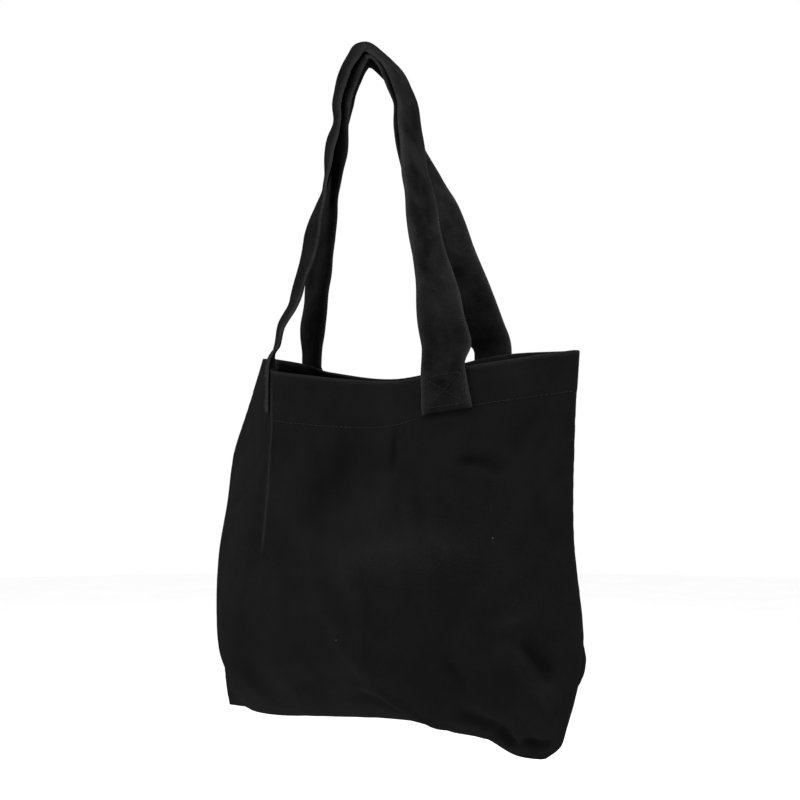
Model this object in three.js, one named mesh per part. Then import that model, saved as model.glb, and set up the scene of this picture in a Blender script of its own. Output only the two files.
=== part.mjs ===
// A canvas tote bag with two strap handles, hung up by the handles.
// Units are millimetres and +Z is up. X runs from the left side seam to the right one,
// and the front panel is on the -Y side.
// The bag is laid out with its bottom seam at height 0, and the whole of it is then moved
// so that the origin is the hang point, under the top of the handles.
import * as THREE from 'three';

// ---- Driving dimensions ----

const CANVAS = 1.0;              // thickness of one layer of cloth
const PANEL_WIDTH = 376;         // along the cloth, side seam to side seam
const PANEL_DROP = 322;          // along the cloth, rim to bottom seam
const STRAP_WIDTH = 38;
const STRAP_THICKNESS = 2.8;
const TAB_DROP = 32;             // sewn end of a handle, below the rim
const HEM_DROP = 32;             // turned-in hem, below the rim
const GAP = 0.35;                // clearance between touching pieces
const NOSE_RADIUS = 4;           // roundness of the shell at a side seam
const KEEL_HALF_WIDTH = 2.5;     // half of the slot that the bottom seam fills
const THREAD = 0.6;              // thickness of a line of stitching
const THREAD_WIDTH = 1.6;
const PIVOT_RISE = 26;           // the handles fold this far above the rim
const HANG_POINT = new THREE.Vector3(17, -31, 539);

const OUTER_MIDDLE = GAP + STRAP_THICKNESS / 2;   // the middle of a strap lying on the cloth

// ---- The cloth shell ----

// Each column runs down the cloth. Its place is counted along the rim from the right seam,
// over the front to the left seam, and back over the back panel.
const COLUMN_AT = {
  rightSeam: 0,
  frontRightTab: 101,
  frontMiddle: 175,
  crease: 249,
  frontLeftTab: 275,
  leftSide: 302,
  leftSeam: PANEL_WIDTH,
  backLeftTab: PANEL_WIDTH + 101,
  backFold: PANEL_WIDTH + 136,
  backMiddle: PANEL_WIDTH + 198,
  backRightTab: PANEL_WIDTH + 275,
};
const GIRTH = 2 * PANEL_WIDTH;

// The values strictly between two ends, about a step apart.
function evenSteps(low, high, step) {
  const count = Math.round((high - low) / step);
  return Array.from({ length: count - 1 }, (_, i) => low + (i + 1) * (high - low) / count);
}

// The samples over a stretch, with its own two ends.
function samplesOver(samples, low, high) {
  const nearest = 1.5;
  return [low, ...samples.filter((value) => value > low + nearest && value < high - nearest), high];
}

// Each level is a closed outline round the bag, one [x, y, z] point for each column.
// drop is how far down the cloth the level lies.
const LEVELS = [
  {
    drop: 0,
    points: [
      [203, -6, 304], [108, -40, 291], [61, -57, 282], [-31, -91, 290], [-47, -71, 294], [-64, -52, 299],
      [-117, -6, 303], [-40, -32, 296], [-9, -42, 290], [18, 12, 285], [98, 30, 302],
    ],
  },
  {
    drop: 55,
    points: [
      [198, -4, 249], [107, -49, 236], [59, -67, 229], [-32, -91, 235], [-50, -75, 237], [-69, -61, 240],
      [-139, -4, 248], [-55, 6, 241], [-20, 4, 240], [18, 34, 236], [98, 42, 247],
    ],
  },
  {
    drop: 135,
    points: [
      [194, 0, 168], [105, -62, 158], [55, -82, 154], [-44, -99, 156], [-74, -90, 157], [-103, -72, 158],
      [-164, 2, 165], [-98, 54, 160], [-58, 66, 158], [5, 74, 156], [98, 60, 164],
    ],
  },
  {
    drop: 215,
    points: [
      [201, 2, 86], [106, -64, 80], [52, -84, 80], [-52, -96, 78], [-86, -88, 78], [-116, -70, 79],
      [-174, 2, 84], [-110, 62, 80], [-66, 74, 79], [0, 80, 78], [98, 64, 80],
    ],
  },
  {
    drop: 258,
    points: [
      [192, 3, 42], [102, -50, 34], [46, -64, 45], [-54, -78, 40], [-88, -70, 36], [-120, -54, 34],
      [-173, 2, 40], [-110, 58, 32], [-64, 66, 32], [0, 68, 32], [97, 56, 32],
    ],
  },
  {
    drop: 290,
    points: [
      [180, 1, 18], [98, -28, 13], [44, -36, 23], [-50, -44, 15], [-82, -40, 11], [-112, -32, 9],
      [-169, 1, 16], [-108, 34, 9], [-62, 36, 10], [0, 36, 13], [94, 32, 12],
    ],
  },
  {
    drop: PANEL_DROP,
    points: [
      [167, 0, 1], [97, -KEEL_HALF_WIDTH, 5], [45, -KEEL_HALF_WIDTH, 10], [-46, -KEEL_HALF_WIDTH, 5],
      [-78, -KEEL_HALF_WIDTH, 3], [-108, -KEEL_HALF_WIDTH, 2], [-165, 0, 1], [-108, KEEL_HALF_WIDTH, 2],
      [-64, KEEL_HALF_WIDTH, 4], [-3, KEEL_HALF_WIDTH, 8], [90, KEEL_HALF_WIDTH, 6],
    ],
  },
];

// One coordinate on the smooth line through knots [place, value], at a place along it.
// The slope at a knot is that between its two neighbours.
function smoothValue(knots, place, closedLength) {
  const count = knots.length;
  const wrapped = (i) => {
    if (closedLength === undefined) return knots[THREE.MathUtils.clamp(i, 0, count - 1)];
    const turn = Math.floor(i / count);
    const knot = knots[i - turn * count];
    return [knot[0] + turn * closedLength, knot[1]];
  };
  let i = 0;
  while (i < count - 1 && knots[i + 1][0] <= place) i += 1;
  if (closedLength === undefined) i = Math.min(i, count - 2);
  const [before, start, end, after] = [i - 1, i, i + 1, i + 2].map(wrapped);
  const span = end[0] - start[0];
  const t = (place - start[0]) / span;
  const slopeStart = (end[1] - before[1]) / (end[0] - before[0]);
  const slopeEnd = (after[1] - start[1]) / (after[0] - start[0]);
  const t2 = t * t;
  const t3 = t2 * t;
  return (2 * t3 - 3 * t2 + 1) * start[1] + (t3 - 2 * t2 + t) * span * slopeStart
    + (3 * t2 - 2 * t3) * end[1] + (t3 - t2) * span * slopeEnd;
}

// The outline of a level as knots [place, point], with a rounded nose at each side seam.
function outlineKnots(level) {
  const places = Object.values(COLUMN_AT);
  const points = level.points.map((point) => new THREE.Vector3(...point));
  const atSeam = (i) => places[i] === COLUMN_AT.rightSeam || places[i] === COLUMN_AT.leftSeam;
  const radius = level.drop === PANEL_DROP ? KEEL_HALF_WIDTH : NOSE_RADIUS;
  const noseLength = radius * Math.PI / 2;
  const knots = [];
  points.forEach((point, i) => {
    if (!atSeam(i)) {
      knots.push([places[i], point]);
      return;
    }
    const last = points[(i + points.length - 1) % points.length];
    const next = points[(i + 1) % points.length];
    const inward = last.clone().add(next).multiplyScalar(0.5).sub(point).setZ(0).normalize();
    const across = new THREE.Vector3(-inward.y, inward.x, 0).multiplyScalar(radius);
    const nose = (side) => point.clone().addScaledVector(inward, radius).addScaledVector(across, side);
    knots.push([places[i] - noseLength, nose(-1)], [places[i], point], [places[i] + noseLength, nose(1)]);
  });
  knots.forEach((knot) => {
    knot[0] = THREE.MathUtils.euclideanModulo(knot[0], GIRTH);
  });
  return knots.sort((a, b) => a[0] - b[0]);
}

const OUTLINES = LEVELS.map(outlineKnots);

// The point of the shell's outer face at a place along the rim and a drop below it.
function shellFace(place, drop) {
  const along = THREE.MathUtils.euclideanModulo(place, GIRTH);
  const point = new THREE.Vector3();
  for (const axis of ['x', 'y', 'z']) {
    const profile = LEVELS.map((level, i) => {
      const knots = OUTLINES[i].map(([at, where]) => [at, where[axis]]);
      return [level.drop, smoothValue(knots, along, GIRTH)];
    });
    point[axis] = smoothValue(profile, drop);
  }
  return point;
}

// The outward direction of the shell at a point of it.
function shellNormal(place, drop) {
  const step = 0.5;
  const alongRim = shellFace(place + step, drop).sub(shellFace(place - step, drop));
  const low = Math.min(drop + step, PANEL_DROP);
  const downCloth = shellFace(place, low).sub(shellFace(place, Math.max(drop - step, 0)));
  return alongRim.cross(downCloth).normalize();
}

// A point of the shell, moved out of its outer face by a height, or into it where that is negative.
function shellPoint(place, drop, height) {
  return shellFace(place, drop).addScaledVector(shellNormal(place, drop), height);
}

// ---- Where the cloth is sampled ----

// The place that lies a distance along the cloth from another place, half-way down a handle's sewn end.
function placeBeside(place, distance) {
  const step = Math.sign(distance);
  let at = place;
  for (let left = Math.abs(distance); left > 0;) {
    const length = shellFace(at, TAB_DROP / 2).distanceTo(shellFace(at + step, TAB_DROP / 2));
    at += step * Math.min(1, left / length);
    left -= length;
  }
  return at;
}

const STATION_STEP = 14;
const ROW_STEP = 16;
const SEAM_STATIONS = [3, 6.3, 10];
const ROWS = evenSteps(0, PANEL_DROP, ROW_STEP);

// The places sampled across one panel, closer together at its two seams and at its sewn ends.
// Layers that lie on each other share these, so they stay apart.
function panelStations(seamBefore, tabs) {
  const tabStations = tabs.flatMap((place) => (
    [-0.5, -0.25, 0, 0.25, 0.5].map((share) => placeBeside(place, share * STRAP_WIDTH))
  ));
  const plain = evenSteps(SEAM_STATIONS.at(-1), PANEL_WIDTH - SEAM_STATIONS.at(-1), STATION_STEP)
    .map((station) => seamBefore + station);
  return [
    ...SEAM_STATIONS.flatMap((inset) => [seamBefore + inset, seamBefore + PANEL_WIDTH - inset]),
    ...plain.filter((station) => tabStations.every((other) => Math.abs(other - station) > STATION_STEP / 3)),
    ...tabStations,
  ].sort((first, second) => first - second);
}

const FRONT_STATIONS = panelStations(0, [COLUMN_AT.frontRightTab, COLUMN_AT.frontLeftTab]);
const BACK_STATIONS = panelStations(PANEL_WIDTH, [COLUMN_AT.backLeftTab, COLUMN_AT.backRightTab]);

function stationsOver(from, to) {
  return samplesOver(from < PANEL_WIDTH ? FRONT_STATIONS : BACK_STATIONS, from, to);
}

// ---- Solids ----

// A closed solid between two grids of points, front(i, j) and back(i, j).
// Seen from the front, i runs to the left and j runs down.
function gridSolid(columns, rows, front, back) {
  const positions = [];
  const index = [];
  const stride = rows + 1;
  const layer = (columns + 1) * stride;
  for (const face of [front, back]) {
    for (let i = 0; i <= columns; i += 1) {
      for (let j = 0; j <= rows; j += 1) positions.push(...face(i, j).toArray());
    }
  }
  const at = (i, j, side) => side * layer + i * stride + j;
  const quad = (a, b, c, d) => index.push(a, b, c, a, c, d);
  for (let i = 0; i < columns; i += 1) {
    for (let j = 0; j < rows; j += 1) {
      quad(at(i, j, 0), at(i + 1, j, 0), at(i + 1, j + 1, 0), at(i, j + 1, 0));
      quad(at(i, j, 1), at(i, j + 1, 1), at(i + 1, j + 1, 1), at(i + 1, j, 1));
    }
    quad(at(i, 0, 1), at(i + 1, 0, 1), at(i + 1, 0, 0), at(i, 0, 0));
    quad(at(i, rows, 0), at(i + 1, rows, 0), at(i + 1, rows, 1), at(i, rows, 1));
  }
  for (let j = 0; j < rows; j += 1) {
    quad(at(0, j, 0), at(0, j + 1, 0), at(0, j + 1, 1), at(0, j, 1));
    quad(at(columns, j, 1), at(columns, j + 1, 1), at(columns, j + 1, 0), at(columns, j, 0));
  }
  const geometry = new THREE.BufferGeometry();
  geometry.setAttribute('position', new THREE.Float32BufferAttribute(positions, 3));
  geometry.setIndex(index);
  geometry.computeVertexNormals();
  return geometry;
}

// A layer of cloth on the shell, over a stretch of the rim and a stretch of the drop,
// from a height of inner to a height of outer above the shell's outer face.
function clothLayer({ from, to, top, bottom, inner, outer }) {
  const places = stationsOver(from, to);
  const drops = samplesOver(ROWS, top, bottom);
  const face = (height) => (i, j) => shellPoint(places[i], drops[j], height);
  return gridSolid(places.length - 1, drops.length - 1, face(outer), face(inner));
}

// A ribbon along a path, in shorter steps towards its ends. widthAt(t) is half its width as a vector.
function ribbon(path, widthAt, thickness, steps) {
  const share = (i) => {
    const turn = 2 * Math.PI * i / steps;
    return (turn - 0.8 * Math.sin(turn)) / (2 * Math.PI);
  };
  const corner = (i, side, lift) => {
    const t = share(i);
    const halfWidth = widthAt(t);
    const normal = path.getTangentAt(t).cross(halfWidth).normalize();
    return path.getPointAt(t).addScaledVector(halfWidth, side).addScaledVector(normal, lift);
  };
  const front = (i, j) => corner(i, j * 2 - 1, thickness / 2);
  const back = (i, j) => corner(i, j * 2 - 1, -thickness / 2);
  return gridSolid(steps, 1, front, back);
}

// ---- Pieces of the bag body ----

function panel(seamBefore, seamAfter) {
  return clothLayer({
    from: seamBefore + GAP, to: seamAfter - GAP, top: 0, bottom: PANEL_DROP,
    inner: -CANVAS, outer: 0,
  });
}

function hem(seamBefore, seamAfter) {
  const seamClearance = NOSE_RADIUS + 8;
  return clothLayer({
    from: seamBefore + seamClearance, to: seamAfter - seamClearance, top: 0, bottom: HEM_DROP,
    inner: -2 * CANVAS - GAP, outer: -CANVAS - GAP,
  });
}

// The line of stitching that holds the hem, on the outside, between two places on the rim.
function hemStitching(from, to) {
  const middle = HEM_DROP - 2;
  return clothLayer({
    from, to, top: middle - THREAD_WIDTH / 2, bottom: middle + THREAD_WIDTH / 2,
    inner: 2 * GAP, outer: 2 * GAP + THREAD,
  });
}

// The turned-in seam allowance inside a side seam.
function sideSeam(seam) {
  const halfThickness = 1;
  const depth = 6;
  const rows = 20;
  const start = NOSE_RADIUS * 0.6;
  const centre = (inset, drop) => {
    const front = shellFace(seam + NOSE_RADIUS * 2, drop);
    const back = shellFace(seam - NOSE_RADIUS * 2, drop);
    const tip = shellFace(seam, drop);
    const inward = front.add(back).multiplyScalar(0.5).sub(tip).normalize();
    return tip.addScaledVector(inward, inset);
  };
  const across = (drop) => {
    const front = shellFace(seam + NOSE_RADIUS * 2, drop);
    return front.sub(shellFace(seam - NOSE_RADIUS * 2, drop)).setZ(0).normalize();
  };
  const drop = (j) => THREE.MathUtils.lerp(GAP, PANEL_DROP - 40, j / rows);
  const face = (side) => (i, j) => centre(start + depth * i, drop(j))
    .addScaledVector(across(drop(j)), side * halfThickness);
  return gridSolid(1, rows, face(1), face(-1));
}

// The bound seam along the bottom, standing up inside the slot between the two panels.
function bottomSeam() {
  const height = 7;
  const halfThickness = KEEL_HALF_WIDTH - CANVAS - GAP;
  const places = stationsOver(24, PANEL_WIDTH - 24);
  const face = (side) => (i, j) => {
    const point = shellFace(places[i], PANEL_DROP).setY(side * halfThickness);
    return point.add(new THREE.Vector3(0, 0, height * (1 - j)));
  };
  return gridSolid(places.length - 1, 1, face(-1), face(1));
}

// The sewn end of a handle, on the outside of the panel.
function handleTab(place) {
  return clothLayer({
    from: placeBeside(place, -STRAP_WIDTH / 2), to: placeBeside(place, STRAP_WIDTH / 2),
    top: 0, bottom: TAB_DROP,
    inner: GAP, outer: GAP + STRAP_THICKNESS,
  });
}

// A closed outline through corners, with each side divided so that it can bend with the cloth.
function dividedOutline(corners, Outline) {
  const divisions = 5;
  const points = corners.flatMap(([x, y], i) => {
    const start = new THREE.Vector2(x, y);
    const end = new THREE.Vector2(...corners[(i + 1) % corners.length]);
    return Array.from({ length: divisions }, (_, j) => start.clone().lerp(end, j / divisions));
  });
  return new Outline(points);
}

// The stitching on a handle's sewn end: a box with a cross in it, in one piece.
function boxStitching(place) {
  const margin = 4;
  const halfSide = TAB_DROP / 2 - margin;
  const widen = (STRAP_WIDTH / 2 - margin) / halfSide;
  const square = [[-1, -1], [1, -1], [1, 1], [-1, 1]].map(([x, y]) => [x * halfSide, y * halfSide]);
  const outline = dividedOutline(square, THREE.Shape);
  // A triangle of open cloth is left between each side of the box and the two arms of the cross.
  const near = THREAD_WIDTH * Math.SQRT1_2;
  const far = halfSide - THREAD_WIDTH;
  const centre = new THREE.Vector2();
  for (let quarter = 0; quarter < 4; quarter += 1) {
    const triangle = [[near, 0], [far, near - far], [far, far - near]].map((corner) => (
      new THREE.Vector2(...corner).rotateAround(centre, quarter * Math.PI / 2).toArray()
    ));
    outline.holes.push(dividedOutline(triangle, THREE.Path));
  }
  const geometry = new THREE.ExtrudeGeometry(outline, { depth: THREAD, bevelEnabled: false });
  const positions = geometry.getAttribute('position');
  const lift = STRAP_THICKNESS + 4 * GAP;
  for (let i = 0; i < positions.count; i += 1) {
    const drop = TAB_DROP / 2 - positions.getY(i);
    const across = placeBeside(place, -widen * positions.getX(i));
    const point = shellPoint(across, drop, lift + positions.getZ(i));
    positions.setXYZ(i, point.x, point.y, point.z);
  }
  geometry.computeVertexNormals();
  return geometry;
}

// ---- Handles ----

// The heading of a strap's width, in degrees about +Z, at its start, its top and its end.
// Each strap turns on the way up so that its faces meet the other handle's at the top.
const FRONT_HANDLE = {
  startPlace: COLUMN_AT.frontRightTab,
  endPlace: COLUMN_AT.frontLeftTab,
  headings: [20, 129, 130],
  middle: [
    [100, -43, 340], [91, -31, 395], [70, -19, 455], [57, -13, 497], [46, -12, 522], [35, -18, 541],
    [17, -31, 549.5], [7, -39, 542], [0, -44, 520], [-4, -47, 490], [-10, -51, 430], [-20, -56, 380],
    [-35, -65, 335],
  ],
};
const BACK_HANDLE = {
  startPlace: COLUMN_AT.backRightTab,
  endPlace: COLUMN_AT.backLeftTab,
  headings: [172, 309, 334],
  middle: [
    [85, 17, 352], [67, 5, 404], [49, -6, 455], [40, -13, 496], [34, -17, 519], [27, -22.5, 534],
    [17, -31, 541], [12, -35, 535], [8, -38, 518], [5, -39, 490], [-3, -38, 430], [-14, -36, 380],
    [-27, -34, 345],
  ],
};

// The foot of a handle's free part: its pivot above the rim, and its tip half a strap below that.
function handleFoot(place) {
  const onRim = shellPoint(place, 0, OUTER_MIDDLE);
  const tip = onRim.clone().add(new THREE.Vector3(0, 0, PIVOT_RISE - STRAP_WIDTH / 2));
  const pivot = onRim.clone().add(new THREE.Vector3(0, 0, PIVOT_RISE));
  return { tip, pivot };
}

// The free part of a handle, over the hang point from one tab to the other.
// Each foot is rounded about its pivot, so that the handle can fold down past its tab.
function handleLoop({ startPlace, endPlace, headings, middle }) {
  const start = handleFoot(startPlace);
  const end = handleFoot(endPlace);
  const points = [start.tip, start.pivot, ...middle.map((point) => new THREE.Vector3(...point)),
    end.pivot, end.tip];
  const path = new THREE.CatmullRomCurve3(points, false, 'centripetal');
  const length = path.getLength();
  const halfWidth = STRAP_WIDTH / 2;
  const widthAt = (t) => {
    const fromFoot = Math.min(t, 1 - t) * length;
    const intoFoot = Math.max(halfWidth - fromFoot, 0);
    const half = Math.max(Math.sqrt(halfWidth ** 2 - intoFoot ** 2), 2);
    const leg = t < 0.5 ? headings.slice(0, 2) : headings.slice(1);
    const share = THREE.MathUtils.smoothstep(t < 0.5 ? 2 * t : 2 * t - 1, 0, 1);
    const heading = THREE.MathUtils.degToRad(THREE.MathUtils.lerp(leg[0], leg[1], share));
    return new THREE.Vector3(Math.cos(heading), Math.sin(heading), 0).multiplyScalar(half);
  };
  return ribbon(path, widthAt, STRAP_THICKNESS, 72);
}

// ---- Assembly ----

const CLOTH_COLOUR = 0x1b1b1b;
const LINING_COLOUR = 0x161616;
const THREAD_COLOUR = 0x242424;

const bag = new THREE.Group();
bag.position.copy(HANG_POINT).negate();

function addPiece(name, geometry, color) {
  const material = new THREE.MeshStandardMaterial({ color, roughness: 0.95, metalness: 0 });
  const mesh = new THREE.Mesh(geometry, material);
  mesh.name = name;
  bag.add(mesh);
}

addPiece('front_panel', panel(COLUMN_AT.rightSeam, COLUMN_AT.leftSeam), CLOTH_COLOUR);
addPiece('back_panel', panel(COLUMN_AT.leftSeam, GIRTH), CLOTH_COLOUR);
addPiece('front_hem', hem(COLUMN_AT.rightSeam, COLUMN_AT.leftSeam), LINING_COLOUR);
addPiece('back_hem', hem(COLUMN_AT.leftSeam, GIRTH), LINING_COLOUR);
addPiece('right_side_seam', sideSeam(COLUMN_AT.rightSeam), LINING_COLOUR);
addPiece('left_side_seam', sideSeam(COLUMN_AT.leftSeam), LINING_COLOUR);
addPiece('bottom_seam', bottomSeam(), LINING_COLOUR);

const TABS = {
  front_right: COLUMN_AT.frontRightTab,
  front_left: COLUMN_AT.frontLeftTab,
  back_left: COLUMN_AT.backLeftTab,
  back_right: COLUMN_AT.backRightTab,
};
for (const [side, place] of Object.entries(TABS)) {
  addPiece(`${side}_handle_tab`, handleTab(place), CLOTH_COLOUR);
  addPiece(`${side}_box_stitching`, boxStitching(place), THREAD_COLOUR);
}

const SEAM_CLEARANCE = NOSE_RADIUS + 3;
const beforeTab = (place) => placeBeside(place, -STRAP_WIDTH / 2 - 2);
const afterTab = (place) => placeBeside(place, STRAP_WIDTH / 2 + 2);
const HEM_RUNS = {
  front_right: [SEAM_CLEARANCE, beforeTab(COLUMN_AT.frontRightTab)],
  front_middle: [afterTab(COLUMN_AT.frontRightTab), beforeTab(COLUMN_AT.frontLeftTab)],
  back_middle: [afterTab(COLUMN_AT.backLeftTab), beforeTab(COLUMN_AT.backRightTab)],
  back_right: [afterTab(COLUMN_AT.backRightTab), GIRTH - SEAM_CLEARANCE],
};
for (const [side, [from, to]] of Object.entries(HEM_RUNS)) {
  addPiece(`${side}_hem_stitching`, hemStitching(from, to), THREAD_COLOUR);
}

addPiece('front_handle', handleLoop(FRONT_HANDLE), CLOTH_COLOUR);
addPiece('back_handle', handleLoop(BACK_HANDLE), CLOTH_COLOUR);

export default bag;
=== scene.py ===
"""A black canvas tote bag, hung up by its two strap handles.

Shapes are worked out in bag millimetres: X runs from the left side seam to the right one, the front
panel is on the -Y side, and the bottom seam is at height 0. add_mesh() turns them into the frame's metres.
A spot on the cloth is a place, counted along the rim from the right seam over the front, and a drop
below the rim.
"""

import math

import bpy
import numpy as np
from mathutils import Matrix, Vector


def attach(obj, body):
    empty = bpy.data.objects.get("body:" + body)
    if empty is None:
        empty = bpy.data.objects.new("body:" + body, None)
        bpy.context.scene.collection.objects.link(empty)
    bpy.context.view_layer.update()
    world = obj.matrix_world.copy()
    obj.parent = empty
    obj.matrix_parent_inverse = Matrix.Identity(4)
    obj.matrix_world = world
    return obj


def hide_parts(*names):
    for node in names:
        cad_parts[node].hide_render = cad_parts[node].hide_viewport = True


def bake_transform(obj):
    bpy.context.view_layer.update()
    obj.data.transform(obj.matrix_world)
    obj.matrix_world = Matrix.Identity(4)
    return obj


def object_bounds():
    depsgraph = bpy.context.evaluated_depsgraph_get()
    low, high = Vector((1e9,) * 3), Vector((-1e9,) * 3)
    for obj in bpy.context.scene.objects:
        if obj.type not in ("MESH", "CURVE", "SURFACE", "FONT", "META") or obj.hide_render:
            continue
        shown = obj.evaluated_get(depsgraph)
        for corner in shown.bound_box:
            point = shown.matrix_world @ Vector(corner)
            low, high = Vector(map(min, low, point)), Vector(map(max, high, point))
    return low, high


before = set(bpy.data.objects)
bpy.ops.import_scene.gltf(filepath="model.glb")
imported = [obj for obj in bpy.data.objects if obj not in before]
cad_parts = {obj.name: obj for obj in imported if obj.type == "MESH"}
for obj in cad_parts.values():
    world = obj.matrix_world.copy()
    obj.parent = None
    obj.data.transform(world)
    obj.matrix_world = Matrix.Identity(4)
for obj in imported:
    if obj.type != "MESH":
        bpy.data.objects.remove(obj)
CAD_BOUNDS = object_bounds()

# ---- Driving dimensions, in millimetres ----

MM = 0.001
HANG_POINT = np.array([17.0, -31.0, 539.0])
CANVAS = 1.0
PANEL_WIDTH = 376.0
PANEL_DROP = 322.0
GIRTH = 2 * PANEL_WIDTH
STRAP_WIDTH = 38.0
STRAP_THICKNESS = 2.8
TAB_DROP = 32.0
HEM_DROP = 32.0
HEM_DEEPENING = 8.0
STITCH_INSET = 2.0
GAP = 0.35
NOSE_RADIUS = 4.0
KEEL_HALF_WIDTH = 2.5
PIVOT_RISE = 26.0
STRAP_LIFT = GAP + STRAP_THICKNESS / 2
STRAP_STEP = 2.0
FOOT_RISE = 20.0
STRAP_COLUMNS = 21
STRAP_EDGE = 0.06
STRAP_SQUARENESS = 14
EDGE_WEAR = 1.3
APEX_WEAR = 0.5
APEX_CREASE_SHIFT = 2.0
APEX_CREASE_WIDTH = 1.4

COLUMN_AT = {
    "right_seam": 0,
    "front_right_tab": 101,
    "front_middle": 175,
    "crease": 249,
    "front_left_tab": 275,
    "left_side": 302,
    "left_seam": PANEL_WIDTH,
    "back_left_tab": PANEL_WIDTH + 101,
    "back_fold": PANEL_WIDTH + 136,
    "back_middle": PANEL_WIDTH + 198,
    "back_right_tab": PANEL_WIDTH + 275,
}

# The middle of each handle's sewn end. The front left one is sewn right up to the crease.
TAB_AT = {
    "front_right": COLUMN_AT["front_right_tab"],
    "front_left": COLUMN_AT["front_left_tab"] - 5,
    "back_left": COLUMN_AT["back_left_tab"],
    "back_right": COLUMN_AT["back_right_tab"],
}

# Each level is a closed outline round the bag, one point for each column, at a drop down the cloth.
KEEL = KEEL_HALF_WIDTH
LEVELS = {
    0: [
        (203, -6, 304), (108, -40, 291), (61, -57, 282), (-27, -89, 290), (-44, -69, 294), (-61, -50, 299),
        (-115, -6, 303), (-40, -32, 296), (-9, -42, 290), (18, 12, 285), (98, 30, 302),
    ],
    55: [
        (198, -4, 249), (107, -49, 236), (59, -67, 229), (-28, -89, 235), (-46, -73, 237), (-66, -60, 240),
        (-139, -4, 248), (-55, 6, 241), (-20, 4, 240), (18, 34, 236), (98, 42, 247),
    ],
    135: [
        (194, 0, 168), (105, -62, 158), (55, -82, 154), (-35, -97, 156), (-68, -92, 157), (-103, -72, 158),
        (-164, 2, 165), (-98, 54, 160), (-58, 66, 158), (5, 74, 156), (98, 60, 164),
    ],
    215: [
        (201, 2, 86), (106, -64, 80), (52, -84, 80), (-52, -96, 78), (-84, -88, 78), (-111, -68, 79),
        (-174, 2, 84), (-110, 62, 80), (-66, 74, 79), (0, 80, 78), (98, 64, 80),
    ],
    258: [
        (192, 3, 42), (102, -50, 34), (46, -64, 45), (-54, -78, 40), (-84, -70, 36), (-113, -52, 34),
        (-173, 2, 40), (-110, 58, 32), (-64, 66, 32), (0, 68, 32), (97, 56, 32),
    ],
    290: [
        (180, 1, 18), (98, -28, 13), (44, -36, 23), (-50, -44, 15), (-82, -40, 11), (-112, -32, 9),
        (-169, 1, 16), (-108, 34, 9), (-62, 36, 10), (0, 36, 13), (94, 32, 12),
    ],
    PANEL_DROP: [
        (167, 0, 1), (97, -KEEL, 5), (45, -KEEL, 10), (-46, -KEEL, 5), (-78, -KEEL, 3), (-108, -KEEL, 2),
        (-165, 0, 1), (-108, KEEL, 2), (-64, KEEL, 4), (-3, KEEL, 8), (90, KEEL, 6),
    ],
}

# ---- Smooth lines and the cloth surface ----


def smooth_through(at, values, where, closed_length=None):
    """Values on the smooth line through knots. The slope at a knot is that between its neighbours."""
    at = np.asarray(at, float)
    values = np.asarray(values, float)
    where = np.asarray(where, float)
    if closed_length is not None:
        at = np.concatenate([at[-2:] - closed_length, at, at[:2] + closed_length])
        values = np.concatenate([values[-2:], values, values[:2]])
        where = np.mod(where, closed_length)
    around = (-1,) + (1,) * (values.ndim - 1)
    slopes = np.empty_like(values)
    slopes[1:-1] = (values[2:] - values[:-2]) / (at[2:] - at[:-2]).reshape(around)
    slopes[0] = (values[1] - values[0]) / (at[1] - at[0])
    slopes[-1] = (values[-1] - values[-2]) / (at[-1] - at[-2])
    i = np.clip(np.searchsorted(at, where, side="right") - 1, 0, len(at) - 2)
    span = (at[i + 1] - at[i]).reshape(around)
    t = (where - at[i]).reshape(around) / span
    return (
        (2 * t**3 - 3 * t**2 + 1) * values[i]
        + (t**3 - 2 * t**2 + t) * span * slopes[i]
        + (3 * t**2 - 2 * t**3) * values[i + 1]
        + (t**3 - t**2) * span * slopes[i + 1]
    )


def smoothstep(value, low=0.0, high=1.0):
    t = np.clip((np.asarray(value, float) - low) / (high - low), 0, 1)
    return t * t * (3 - 2 * t)


def unit(vectors):
    return vectors / np.maximum(np.linalg.norm(vectors, axis=-1, keepdims=True), 1e-9)


def lengths_along(points):
    """How far along a line of points each of them lies, from 0 at the first."""
    return np.concatenate([[0], np.cumsum(np.linalg.norm(np.diff(points, axis=0), axis=1))])


def outline_knots(points, drop):
    """The knots (place, point) of a level, with a rounded nose at each side seam."""
    places = list(COLUMN_AT.values())
    seams = (COLUMN_AT["right_seam"], COLUMN_AT["left_seam"])
    points = np.array(points, float)
    radius = KEEL_HALF_WIDTH if drop == PANEL_DROP else NOSE_RADIUS
    nose_length = radius * math.pi / 2
    knots = []
    for i, (place, point) in enumerate(zip(places, points)):
        if place not in seams:
            knots.append((place, point))
            continue
        inward = (points[i - 1] + points[(i + 1) % len(points)]) / 2 - point
        inward[2] = 0
        inward = unit(inward)
        across = np.array([-inward[1], inward[0], 0]) * radius
        middle = point + inward * radius
        knots.append((place - nose_length, middle - across))
        knots.append((place, point))
        knots.append((place + nose_length, middle + across))
    knots = sorted(((place % GIRTH, point) for place, point in knots), key=lambda knot: knot[0])
    return [place for place, _ in knots], [point for _, point in knots]


SPACING = 4.0
PLACES = np.arange(0, GIRTH, SPACING)
DROPS = np.linspace(0, PANEL_DROP, round(PANEL_DROP / SPACING) + 1)
DROP_STEP = DROPS[1]


def plain_shell():
    """The shell's outer face on the whole grid of places and drops, as an array [place, drop, xyz]."""
    levels = [smooth_through(*outline_knots(points, drop), PLACES, GIRTH) for drop, points in LEVELS.items()]
    return smooth_through(list(LEVELS), np.array(levels), DROPS).transpose(1, 0, 2)


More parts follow.
